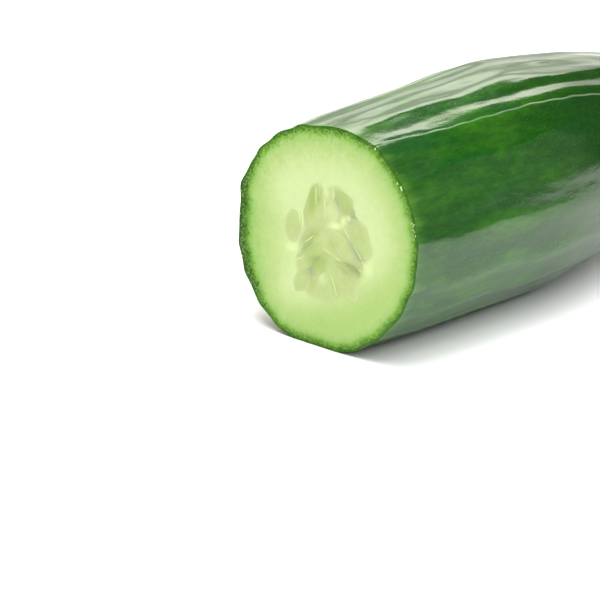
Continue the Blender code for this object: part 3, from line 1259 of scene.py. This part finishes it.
@dataclass
class Body(Piece):
    """Skin and flesh as one closed mesh, with the fine relief grown on it.

    Attributes:
        around: Points in a ring.
        end: Where the skin ends, inside the stem stub.
        skin_steps: Distance between the skin's rings, by their distance from the cut, in millimetres.
        cut_steps: Distance between the outer rings of the cut, by their depth, in millimetres.
        core_radius: Inside this the rings of the cut stand close.
        core_step: Distance between those rings.
        closest: Least distance between two points of a ring, as a share of that step.
        sharp_from: Turn between two faces past which their edge is crisp, as at the rim.
        ridge: Angle of the thin ridge by the distance from the cut.
        ridge_wave: Length of its sideways swing.
        ridge_swing: Size of that swing.
        wrinkle: Height, length and width of the wrinkles.
        grain: Height and size of the grain.
    """

    name: ClassVar[str] = "cucumber_body"
    slot: ClassVar[str] = "skin"
    size_names: ClassVar[tuple[str, ...]] = (
        "Wrinkle Height", "Wrinkle Length", "Wrinkle Width", "Grain Height", "Grain Size", "Seed",
    )
    around: int = 360
    end: float = 143 * MM
    skin_steps: Pairs = ((0, 0.12), (0.4, 0.2), (4, 0.42), (12, 0.66), (90, 0.72), (143, 0.9))
    cut_steps: Pairs = ((0, 0.12), (0.4, 0.2), (3, 0.5), (9, 0.5))
    core_radius: float = 13.3 * MM
    core_step: float = 0.32 * MM
    closest: float = 0.5
    sharp_from: float = 40
    ridge: Pairs = (
        (0, 66.0), (5 * MM, 63.8), (12 * MM, 61.0), (20 * MM, 59.2), (30 * MM, 58.3), (40 * MM, 56.0),
        (50 * MM, 54.2), (60 * MM, 53.4), (70 * MM, 50.6), (80 * MM, 48.0), (105 * MM, 41.0),
    )
    ridge_wave: float = 7 * MM
    ridge_swing: float = 0.2
    wrinkle: Range = (0.16 * MM, 9 * MM, 2.2 * MM)
    grain: Range = (0.03 * MM, 1.1 * MM)
    seed: float = 3.7

    @staticmethod
    def stations(end: float, steps: Pairs) -> np.ndarray:
        """Distances that grow by steps of changing size.

        Args:
            end: Where they stop.
            steps: Size of a step by the distance so far, both in millimetres.

        Returns:
            The distances, from 0 to the first one at or past the end.
        """
        places = [0.0]
        while places[-1] < end:
            places.append(places[-1] + float(np.interp(places[-1] / MM, *zip(*steps))) * MM)
        return np.array(places)

    def outside(self) -> tuple[np.ndarray, np.ndarray]:
        """Places of the skin's points, and what its finish reads there.

        Returns:
            Two arrays, ring by ring: places, and vectors of distance from the cut, height of the
            ribs and gap to the thin ridge, in millimetres.
        """
        stations = np.minimum(self.stations(self.end, self.skin_steps), self.end)
        along, angle = np.meshgrid(stations, circle(self.around), indexing="ij")
        knots = np.sum([knot.relief(along, angle) for knot in KNOTS], axis=0)
        places = self.form.skin(along, angle, knots)
        ribs = self.form.rib_relief(along, angle) * self.form.rib_share(along)
        line = smooth_curve(self.ridge, along) + self.ridge_swing * np.sin(math.tau * along / self.ridge_wave)
        gap = np.radians(turn_between(angle, line)) * smooth_curve(self.form.profile, along)
        return places, np.stack([along / MM, ribs / MM, np.clip(gap / MM, -FAR_GAP, FAR_GAP)], -1)

    def cut_rings(self) -> list[np.ndarray]:
        """Right and up of the cut's points, ring by ring, from next to the rim to next to the axis.

        Returns:
            The rings; the inner ones have fewer points.
        """
        angles = np.radians(circle(self.around))
        rim = np.stack(self.form.rim(circle(self.around)), -1)
        core = self.core_radius * np.stack([np.cos(angles), np.sin(angles)], -1)
        depths = self.stations(self.form.profile[0][1] - self.core_radius, self.cut_steps)
        rings = [rim + share * (core - rim) for share in depths[1:] / depths[-1]]
        radius = self.core_radius - self.core_step
        count = self.around
        while radius > self.core_step / 2:
            while count % 2 == 0 and math.tau * radius / count < self.closest * self.core_step:
                count //= 2
            turn = np.radians(circle(count))
            rings.append(radius * np.stack([np.cos(turn), np.sin(turn)], -1))
            radius -= self.core_step
        return rings

    def cut_told(self, flat: np.ndarray) -> tuple[np.ndarray, np.ndarray]:
        """What the flesh's finish reads at places on the cut.

        Args:
            flat: Right and up of the places.

        Returns:
            Vectors of right, up and depth under the rim, and vectors of the gap to the core, the
            gap to the nearest strand and the tone of the flesh, with lengths in millimetres.
        """
        right, up = flat[..., 0], flat[..., 1]
        rim = np.hypot(*self.form.rim(np.degrees(np.arctan2(up, right))))
        strokes = np.min([stroke.gap(right, up) for stroke in STROKES], axis=0)
        place = np.stack([right / MM, up / MM, (rim - np.hypot(right, up)) / MM], -1)
        tone = np.clip(spot_tone(right, up), -1, 1)
        return place, np.stack([core_gap(right, up), np.minimum(strokes, FAR_GAP), tone], -1)

    def mesh(self) -> bpy.types.Mesh:
        """The closed body with its attributes, before the fine relief.

        Returns:
            The mesh.
        """
        places, told = self.outside()
        skin_points = places.reshape(-1, 3)
        flats = self.cut_rings()
        flat = np.concatenate([*flats, np.zeros((1, 2))])
        end_point = self.form.axis_point(self.end)[None]
        points = np.concatenate([skin_points, self.form.cut(flat[:, 0], flat[:, 1]), end_point])
        index = np.arange(len(skin_points)).reshape(-1, self.around)
        faces = tube(index) + fan(len(points) - 1, index[-1][::-1])
        skin_faces = len(faces)
        previous, offset = index[0], len(skin_points)
        for ring in flats:
            current = offset + np.arange(len(ring))
            faces += bridge(previous, current)
            previous, offset = current, offset + len(ring)
        faces += fan(offset, previous)
        mesh = mesh_of(self.name, points, faces)
        rim_flat = np.stack(self.form.rim(circle(self.around)), -1)
        for name, values in zip(("cut_place", "cut_marks"), self.cut_told(np.concatenate([rim_flat, flat]))):
            full = np.zeros((len(points), 3))
            full[: self.around] = values[: self.around]
            full[len(skin_points):-1] = values[self.around:]
            store(mesh, name, "FLOAT_VECTOR", "POINT", full)
        full = np.zeros((len(points), 3))
        full[: len(skin_points)] = told.reshape(-1, 3)
        store(mesh, "skin_place", "FLOAT_VECTOR", "POINT", full)
        layers = np.full(len(faces), Layer.FLESH.value, np.int32)
        layers[:skin_faces] = Layer.SKIN.value
        store(mesh, "layer", "INT", "FACE", layers)
        mesh.shade_smooth()
        mesh.set_sharp_from_angle(angle=math.radians(self.sharp_from))
        return mesh

    def tree(self) -> bpy.types.NodeTree:
        """Tree that grows the fine relief of skin and flesh along their normals.

        Returns:
            The tree.
        """
        kinds = dict.fromkeys(self.size_names, "Float") | {"Skin": "Material", "Flesh": "Material"}
        g, given = geometry_tree("fine relief", kinds)
        place = g.out("GeometryNodeInputPosition", {})
        width, grain_size = given["Wrinkle Width"], given["Grain Size"]
        wide = g.vector("DIVIDE", place, g.join(given["Wrinkle Length"], width, width))
        fine = g.vector("DIVIDE", place, g.join(grain_size, grain_size, grain_size))
        wrinkle = g.noise(g.vector("ADD", wide, given["Seed"]), 1.0, 2.0) - 0.5
        grain = g.noise(g.vector("ADD", fine, given["Seed"]), 1.0, 1.0) - 0.5
        height = grain * given["Grain Height"] + wrinkle * given["Wrinkle Height"]
        offset = g.scale(g.out("GeometryNodeInputNormal", {}), height)
        moved = g.moved(given["Geometry"], Offset=offset)
        flesh = g.out("FunctionNodeCompare", {2: g.named("layer", "INT"), 3: Layer.FLESH.value},
                      data_type="INT", operation="EQUAL")
        flesh_input = {"Selection": flesh, "Material": given["Flesh"]}
        return end_tree(g, moved, {"Material": given["Skin"]}, flesh_input)

    def values(self) -> dict[str, object]:
        """Value of each of the tree's inputs by name."""
        sizes = zip(self.size_names, (*self.wrinkle, *self.grain, self.seed))
        return dict(sizes) | {"Skin": SkinFinish().build(), "Flesh": FleshFinish().build()}


@dataclass
class Seeds(Piece):
    """The seeds that show in the cut, each a low lens sunk into the flesh so that its cap shows.

    Attributes:
        height: How far a seed stands out of the flesh.
        sunk: Share of a lens's half height that its middle lies under the flesh.
        tip: How much a seed narrows towards its top.
    """

    name: ClassVar[str] = "seeds"
    slot: ClassVar[str] = "seed"
    height: float = 0.1 * MM
    sunk: float = 0.8
    tip: float = 0.22
    segments: int = 56
    rings: int = 40

    def mesh(self) -> bpy.types.Mesh:
        """A point for each seed, with its size and turn.

        Returns:
            The mesh.
        """
        right, up = np.array([(seed.right, seed.up) for seed in SEEDS]).T * MM
        half = self.height / (1 - self.sunk)
        wide = 1 / math.sqrt(1 - self.sunk**2)
        mesh = mesh_of(self.name, self.form.cut(right, up, -self.sunk * half))
        sizes = [(seed.half_width * MM * wide, seed.half_length * MM * wide, half) for seed in SEEDS]
        turns = [(self.form.cut_axes() @ Matrix.Rotation(-math.radians(seed.lean), 3, "Z")).to_euler()
                 for seed in SEEDS]
        store(mesh, "size", "FLOAT_VECTOR", "POINT", np.array(sizes))
        store(mesh, "turn", "FLOAT_VECTOR", "POINT", np.array(turns))
        return mesh

    def tree(self) -> bpy.types.NodeTree:
        """Tree that sets a lens on each point.

        Returns:
            The tree.
        """
        kinds = {"Segments": "Int", "Rings": "Int", "Tip": "Float", "Material": "Material"}
        g, given = geometry_tree("seeds", kinds)
        sizes = {"Segments": given["Segments"], "Rings": given["Rings"], "Radius": 1.0}
        ball = g.out("GeometryNodeMeshUVSphere", sizes)
        x, y, z = g.out("GeometryNodeInputPosition", {}).parts()
        edge = {"Geometry": ball, "Name": "seed_edge", "Value": g.vector("LENGTH", g.join(x, y))}
        ball = g.out("GeometryNodeStoreNamedAttribute", edge, data_type="FLOAT", domain="POINT")
        shaped = g.join(x * (1.0 - y * given["Tip"]), y, z)
        ball = g.smooth(g.moved(ball, Position=shaped))
        turn, size = (g.named(name, "FLOAT_VECTOR") for name in ("turn", "size"))
        placed = g.scattered(given["Geometry"], ball, turn, size)
        return end_tree(g, placed, {"Material": given["Material"]})

    def values(self) -> dict[str, object]:
        """Value of each of the tree's inputs by name."""
        sizes = {"Segments": self.segments, "Rings": self.rings, "Tip": self.tip}
        return sizes | {"Material": SeedFinish().build()}

    def dress(self, mesh: bpy.types.Mesh) -> None:
        """Writes the tone that the core and each seed's own give its points.

        Args:
            mesh: The finished seeds.
        """
        places = np.zeros(len(mesh.vertices) * 3)
        mesh.vertices.foreach_get("co", places)
        flat = (places.reshape(-1, 3) - self.form.cut(0.0, 0.0)) @ np.array(self.form.cut_axes())[:, :2]
        own = np.repeat([seed.tone for seed in SEEDS], len(flat) // len(SEEDS))
        store(mesh, "tone", "FLOAT", "POINT", np.clip(spot_tone(flat[:, 0], flat[:, 1]) + own, -1, 1))


@dataclass
class Strands(Piece):
    """Thin pale strands that cross the seeds and the flesh between them.

    Attributes:
        top: Height over the flesh that a thin strand reaches.
        bow: Largest sideways bow, as a share of a strand's length.
        thickness: Half thickness, as a share of the stroke's half width.
        sunk: How deep the middle lies under the top, as a share of the half thickness.
        narrowing: Share of the thickness that is lost at the ends.
        steps: Points along a strand.
        sides: Sides of a strand.
    """

    name: ClassVar[str] = "strands"
    slot: ClassVar[str] = "flesh"
    top: float = 0.13 * MM
    bow: float = 0.05
    thickness: float = 0.75
    sunk: float = 0.6
    narrowing: float = 0.75
    steps: int = 14
    sides: int = 10
    seed: int = 11

    def mesh(self) -> bpy.types.Mesh:
        """The middle lines of the strands, with their thickness.

        Returns:
            The mesh.
        """
        draw = random.Random(self.seed)
        share = np.linspace(0, 1, self.steps)
        points, widths, edges = [], [], []
        for stroke in STROKES:
            first, last = np.array(stroke.start) * MM, np.array(stroke.end) * MM
            run = last - first
            side = np.array([-run[1], run[0]]) * draw.uniform(-self.bow, self.bow)
            flat = first + share[:, None] * run + np.sin(math.pi * share)[:, None] * side
            taper = 1 - self.narrowing * np.abs(2 * share - 1) ** 2
            width = stroke.half_width * self.thickness * MM * taper
            start = len(widths)
            edges += [(start + number, start + number + 1) for number in range(self.steps - 1)]
            points.append(self.form.cut(flat[:, 0], flat[:, 1], self.top - self.sunk * width))
            widths += width.tolist()
        mesh = mesh_of(self.name, np.concatenate(points), edges=edges)
        store(mesh, "thick", "FLOAT", "POINT", np.array(widths))
        return mesh

    def tree(self) -> bpy.types.NodeTree:
        """Tree that turns the middle lines into closed tubes.

        Returns:
            The tree.
        """
        g, given = geometry_tree("strands", {"Sides": "Int", "Material": "Material"})
        line = g.out("GeometryNodeMeshToCurve", {0: given["Geometry"]})
        ring = g.out("GeometryNodeCurvePrimitiveCircle", {"Resolution": given["Sides"], "Radius": 1.0})
        inputs = {"Curve": line, "Profile Curve": ring, "Fill Caps": True, "Scale": g.named("thick", "FLOAT")}
        strand = g.smooth(g.out("GeometryNodeCurveToMesh", inputs))
        return end_tree(g, strand, {"Material": given["Material"]})

    def values(self) -> dict[str, object]:
        """Value of each of the tree's inputs by name."""
        return {"Sides": self.sides, "Material": StrandFinish().build()}


@dataclass
class RimFlecks(Piece):
    """Small torn bits of rind along the cut, thicker where the knife dragged.

    Attributes:
        clusters: Angle, half width and strength of each place where they crowd.
        count: Places for a fleck round the rim.
        crowd: Share of those places that hold one, away from the clusters and in the strongest.
        inward: How far inside the rim they lie.
        spread: How far they stray.
        smallest: Size of the smallest one.
        largest: Size of the largest one.
        shape: How wide and how long they are along x, y and z.
        turn: How far they turn each way, in radians.
        ragged: How close together their bumps stand.
        least: Added to the bumps' height, as a share of the radius.
    """

    name: ClassVar[str] = "rim_flecks"
    slot: ClassVar[str] = "flesh"
    clusters: tuple[tuple[float, float, float], ...] = (
        (17, 4, 1.0), (32, 4, 0.8), (40, 3, 0.9), (64, 3, 0.7),
        (100, 8, 0.15), (128, 4, 0.3), (165, 14, 0.35), (200, 9, 0.4),
    )
    count: int = 720
    crowd: tuple[float, float] = (0.02, 0.7)
    inward: float = 0.5 * MM
    spread: float = 0.45 * MM
    smallest: float = 0.07 * MM
    largest: float = 0.5 * MM
    shape: Range = (0.45, 0.7, 1.25)
    turn: float = 0.5
    ragged: float = 1.3
    least: float = 0.4
    seed: int = 5

    def mesh(self) -> bpy.types.Mesh:
        """The rim as a closed line of points, each with its share of flecks.

        Returns:
            The mesh.
        """
        angles = circle(self.count)
        right, up = self.form.rim(angles)
        inward = 1 - self.inward / np.hypot(right, up)
        mesh = mesh_of(self.name, self.form.cut(right * inward, up * inward))
        strength = np.max([
            most * np.exp(-((turn_between(angles, angle) / wide) ** 2)) for angle, wide, most in self.clusters
        ], axis=0)
        store(mesh, "crowd", "FLOAT", "POINT", self.crowd[0] + self.crowd[1] * strength)
        return mesh

    def tree(self) -> bpy.types.NodeTree:
        """Tree that scatters small ragged bits on the rim's points.

        Returns:
            The tree.
        """
        g, given = geometry_tree("rim flecks", {
            "Smallest": "Float", "Largest": "Float", "Spread": "Float", "Seed": "Int", "Material": "Material",
        })
        seed = given["Seed"]
        chance = g.draw(0.0, 1.0, seed)
        chosen = g.out("FunctionNodeCompare", {0: chance, 1: g.named("crowd", "FLOAT")}, data_type="FLOAT",
                       operation="LESS_THAN")
        offset = g.scale(g.draw((-1, -1, -1), (1, 1, 1), seed), given["Spread"])
        points = g.moved(given["Geometry"], Offset=offset)
        bit = g.out("GeometryNodeMeshIcoSphere", {"Radius": 1.0, "Subdivisions": 2})
        place = g.out("GeometryNodeInputPosition", {})
        ragged = g.scale(place, g.noise(place, self.ragged, 2.0) + self.least)
        bit = g.smooth(g.moved(bit, Position=ragged))
        size = g.scale(self.shape, g.draw(given["Smallest"], given["Largest"], seed))
        turn = g.draw((-self.turn,) * 3, (self.turn,) * 3, seed)
        placed = g.scattered(points, bit, turn, size, Selection=chosen)
        return end_tree(g, placed, {"Material": given["Material"]})

    def values(self) -> dict[str, object]:
        """Value of each of the tree's inputs by name."""
        return {"Smallest": self.smallest, "Largest": self.largest, "Spread": self.spread, "Seed": self.seed,
                "Material": StrandFinish().build()}


@dataclass
class StemStub(Piece):
    """The dry stub of the stem: five-sided, with a collar, corky at its cut end. No tree makes it.

    Attributes:
        start: Where it starts, inside the skin.
        around: Points in a ring.
        step: Distance between its rings.
        collar: Height of its collar.
        under: How far its start lies under the skin.
        coarse_fibre: Height and number of its broad flutes.
        fine_fibre: Height and number of its narrow flutes.
        end_roughness: Height, number round the end, and turn of the cut end's waves.
        dish: How deep its cut end is dished.
        shares: Size of the cut end's rings, as shares of its outline.
    """

    name: ClassVar[str] = "stem_stub"
    slot: ClassVar[str] = "stem"
    start: float = 141 * MM
    around: int = 120
    step: float = 0.3 * MM
    collar: float = 0.22 * MM
    collar_from: float = 1.2 * MM
    collar_half_width: float = 0.9 * MM
    dish: float = 0.5 * MM
    under: float = 1.2 * MM
    under_length: float = 0.5 * MM
    coarse_fibre: Range = (0.06 * MM, 17)
    fine_fibre: Range = (0.04 * MM, 31)
    end_roughness: Range = (0.08 * MM, 9, 20)
    shares: Range = (0.97, 0.9, 0.75, 0.6, 0.45, 0.3, 0.15)

    def grow(self) -> bpy.types.Mesh:
        """Makes the stub's closed mesh.

        Returns:
            The mesh.
        """
        stations = np.arange(self.start, self.form.length + 1e-9, self.step)
        along, angle = np.meshgrid(stations, circle(self.around), indexing="ij")
        turn = np.radians(angle)
        coarse, fine = self.coarse_fibre, self.fine_fibre
        fibres = coarse[0] * np.sin(coarse[1] * turn + 1.3 * np.sin(3 * turn))
        fibres = fibres + fine[0] * np.sin(fine[1] * turn)
        lip = self.collar * np.exp(-(((along - self.start - self.collar_from) / self.collar_half_width) ** 2))
        under = -self.under * ease(along, self.start + self.under_length, self.start)
        places = [self.form.skin(along, angle, fibres + lip + under)]
        outline = self.form.skin(np.full(self.around, self.form.length), angle[0], fibres[-1])
        centre = self.form.axis_point(self.form.length)
        height, number, shift = self.end_roughness
        for share in self.shares:
            ring = centre + (outline - centre) * share
            rough = height * np.sin(number * turn[0] + shift * share)
            ring[:, 0] -= self.dish * (1 - share**2) + rough * share
            places.append(ring[None])
        rings = np.concatenate(places)
        ends = [self.form.axis_point(self.start), self.form.axis_point(self.form.length - self.dish)]
        points = np.concatenate([rings.reshape(-1, 3), ends])
        index = np.arange(len(points) - 2).reshape(-1, self.around)
        faces = tube(index) + fan(len(points) - 2, index[0]) + fan(len(points) - 1, index[-1][::-1])
        mesh = mesh_of(self.name, points, faces)
        corky = np.zeros((len(rings), self.around))
        corky[len(stations):] = 1.0
        store(mesh, "stub_end", "FLOAT", "POINT", np.concatenate([corky.ravel(), [0.0, 1.0]]))
        mesh.shade_smooth()
        mesh.materials.append(StubFinish().build())
        return mesh


@dataclass
class StubFibres(Piece):
    """Short dry fibres that stick out of the stub's cut end.

    Attributes:
        count: How many there are.
        length: Length of a fibre.
        thickness: Half its thickness at its root.
        lean: How far it may lean, in radians.
        tip: Thickness of its tip, as a share of its root's.
        sizes: Smallest and largest one, as a share of the usual size.
        reach: Shares of the end's area, from its middle, between which they stand.
        dish: How deep the stub's end is dished.
        root: How deep a fibre starts under the end.
    """

    name: ClassVar[str] = "stub_fibres"
    slot: ClassVar[str] = "stem"
    count: int = 90
    length: float = 0.6 * MM
    thickness: float = 0.07 * MM
    lean: float = 0.45
    tip: float = 0.3
    sides: int = 6
    sizes: tuple[float, float] = (0.5, 1.3)
    reach: tuple[float, float] = (0.15, 0.9)
    dish: float = StemStub.dish
    root: float = 0.15 * MM
    place_seed: int = 23
    turn_seed: int = 3

    def mesh(self) -> bpy.types.Mesh:
        """A point for each fibre, on the dished end.

        Returns:
            The mesh.
        """
        draw = random.Random(self.place_seed)
        angles = np.array([draw.uniform(0, 360) for _ in range(self.count)])
        shares = np.sqrt([draw.uniform(*self.reach) for _ in range(self.count)])
        ring = self.form.skin(np.full(self.count, self.form.length), angles)
        centre = self.form.axis_point(self.form.length)
        points = centre + (ring - centre) * shares[:, None]
        points[:, 0] -= self.dish * (1 - shares**2) + self.root
        return mesh_of(self.name, points)

    def tree(self) -> bpy.types.NodeTree:
        """Tree that sets a thin leaning cone on each point.

        Returns:
            The tree.
        """
        g, given = geometry_tree("stub fibres", {
            "Length": "Float", "Thickness": "Float", "Seed": "Int", "Material": "Material",
        })
        thick = given["Thickness"]
        tip = thick * self.tip
        sizes = {"Vertices": self.sides, "Radius Top": tip, "Radius Bottom": thick, "Depth": given["Length"]}
        cone = g.out("GeometryNodeMeshCone", sizes)
        low, high = ((lean, math.pi / 2 + lean, lean) for lean in (-self.lean, self.lean))
        turn = g.draw(low, high, given["Seed"])
        placed = g.scattered(given["Geometry"], cone, turn, g.draw(*self.sizes, given["Seed"]))
        return end_tree(g, placed, {"Material": given["Material"]})

    def values(self) -> dict[str, object]:
        """Value of each of the tree's inputs by name."""
        dry = replace(StubFinish(), name="cucumber stem fibre", green=StubFinish.cork).build()
        return {"Length": self.length, "Thickness": self.thickness, "Seed": self.turn_seed, "Material": dry}


@dataclass(frozen=True)
class Softbox:
    """One soft light, which faces the cucumber.

    Attributes:
        name: Its name.
        azimuth: Where it stands, in degrees from +X towards +Y.
        elevation: How high it stands, in degrees over the floor.
        distance: How far it is from the cucumber.
        width: Its width.
        height: Its height.
        radiance: Brightness of its face.
        colour: Colour of its light.
    """

    name: str
    azimuth: float
    elevation: float
    distance: float
    width: float
    height: float
    radiance: float
    colour: Colour = (1.0, 1.0, 1.0)

    def build(self) -> None:
        """Makes the light."""
        light = bpy.data.lights.new(self.name, "AREA")
        light.shape = "RECTANGLE"
        light.size, light.size_y = self.width, self.height
        light.energy = self.radiance * math.pi * self.width * self.height
        light.color = self.colour
        lamp = add_object(self.name, light)
        a, e = math.radians(self.azimuth), math.radians(self.elevation)
        towards = Vector((math.cos(e) * math.cos(a), math.cos(e) * math.sin(a), math.sin(e)))
        lamp.location = towards * self.distance
        lamp.rotation_euler = towards.to_track_quat("Z", "Y").to_euler()
        lamp.visible_camera = False


@dataclass(frozen=True)
class LightWall:
    """The wide light behind the cucumber, brighter towards its top, in rows that face the cucumber.

    Attributes:
        azimuth: Where its middle stands, in degrees from +X towards +Y.
        half_width: How far it reaches to either side, in degrees.
        top: How high it reaches, in degrees over the floor.
        count: Number of rows.
        distance: How far it is from the cucumber.
        colour: Colour of its light.
        levels: Brightness at some heights, in degrees.
    """

    azimuth: float = 60
    half_width: float = 37
    top: float = 49
    count: int = 12
    distance: float = 1.8
    colour: Colour = (1.0, 0.98, 0.87)
    levels: Pairs = (
        (0, 0.9), (6, 1.3), (12, 1.6), (17, 1.2), (22, 0.95),
        (27, 1.2), (31, 2.2), (36, 3.8), (42, 5.0), (49, 5.4),
    )

    def rows(self) -> list[Softbox]:
        """The rows, from the lowest up.

        Returns:
            The rows, as soft lights.
        """
        step = self.top / self.count
        height = 2 * self.distance * math.tan(math.radians(step / 2))
        rows = []
        for number in range(self.count):
            elevation = step * (number + 0.5)
            reach = math.tan(math.radians(self.half_width)) * math.cos(math.radians(elevation))
            level = float(np.interp(elevation, *zip(*self.levels)))
            rows.append(Softbox(f"wall_{number}", self.azimuth, elevation, self.distance,
                                2 * self.distance * reach, height, level, self.colour))
        return rows


@dataclass(frozen=True)
class Studio:
    """White floor, soft lights and the camera."""

    floor_size: float = 2.6
    floor_colour: float = 0.92
    floor_roughness: float = 0.6
    floor_shine: float = 0.2
    surround: float = 0.06
    camera_place: Colour = (-0.31164, -0.27441, 0.14997)
    camera_looks: Colour = (0.6045, 0.7096, -0.3621)
    camera_field: float = 17.621
    camera_sensor: float = 36.0
    boxes: tuple[Softbox, ...] = (
        Softbox("overhead", 60, 89, 1.5, 1.3, 1.3, 6.6),
        Softbox("front_box", 259, 48, 1.6, 1.5, 1.2, 3.9),
        Softbox("low_fill", -58, 20, 1.6, 1.8, 1.2, 0.3, (0.9, 1.0, 0.86)),
    )
    wall: LightWall = LightWall()

    def floor(self) -> None:
        """Lays the floor, a plain white sheet."""
        half = self.floor_size / 2
        corners = np.array([(-half, -half, 0), (half, -half, 0), (half, half, 0), (-half, half, 0)])
        mesh = mesh_of("floor", corners, [(0, 1, 2, 3)])
        material = bpy.data.materials.new("floor")
        material.use_nodes = True
        shader = material.node_tree.nodes["Principled BSDF"]
        shader.inputs["Base Color"].default_value = (*(self.floor_colour,) * 3, 1.0)
        shader.inputs["Roughness"].default_value = self.floor_roughness
        shader.inputs["Specular IOR Level"].default_value = self.floor_shine
        mesh.materials.append(material)
        floor = add_object("floor", mesh)

    def world(self) -> None:
        """Lights the scene dimly from all round, shown white where the picture looks past the floor."""
        world = bpy.data.worlds.new("studio")
        world.use_nodes = True
        g = Graph(world.node_tree)
        sky = world.node_tree.nodes["Background"]
        sky.inputs["Color"].default_value = (1, 1, 1, 1)
        seen = g.out("ShaderNodeLightPath", {}, "Is Camera Ray")
        g.tree.links.new((seen + self.surround).socket, sky.inputs["Strength"])
        bpy.context.scene.world = world

    def camera(self) -> None:
        """Sets the camera, at the height and angle that the cucumber is seen from."""
        data = bpy.data.cameras.new("camera")
        data.sensor_width = self.camera_sensor
        data.lens = data.sensor_width / 2 / math.tan(math.radians(self.camera_field / 2))
        data.clip_start = 0.01
        camera = add_object("camera", data)
        camera.location = self.camera_place
        camera.rotation_euler = (-Vector(self.camera_looks)).to_track_quat("Z", "Y").to_euler()
        bpy.context.scene.camera = camera

    def build(self) -> None:
        """Makes the studio."""
        self.floor()
        self.world()
        for box in (*self.boxes, *self.wall.rows()):
            box.build()
        self.camera()
        bpy.context.scene.view_settings.view_transform = "Standard"
        LOG.info("studio: %d soft lights", len(self.boxes) + self.wall.count)


def main() -> None:
    """Builds every piece and the studio, and notes the sizes."""
    logging.basicConfig(level=logging.INFO, format="%(name)s %(message)s")
    form = Form()
    for kind in (Body, Seeds, Strands, RimFlecks, StemStub, StubFibres):
        kind(form).build()
    Studio().build()


if __name__ == "__main__":
    main()
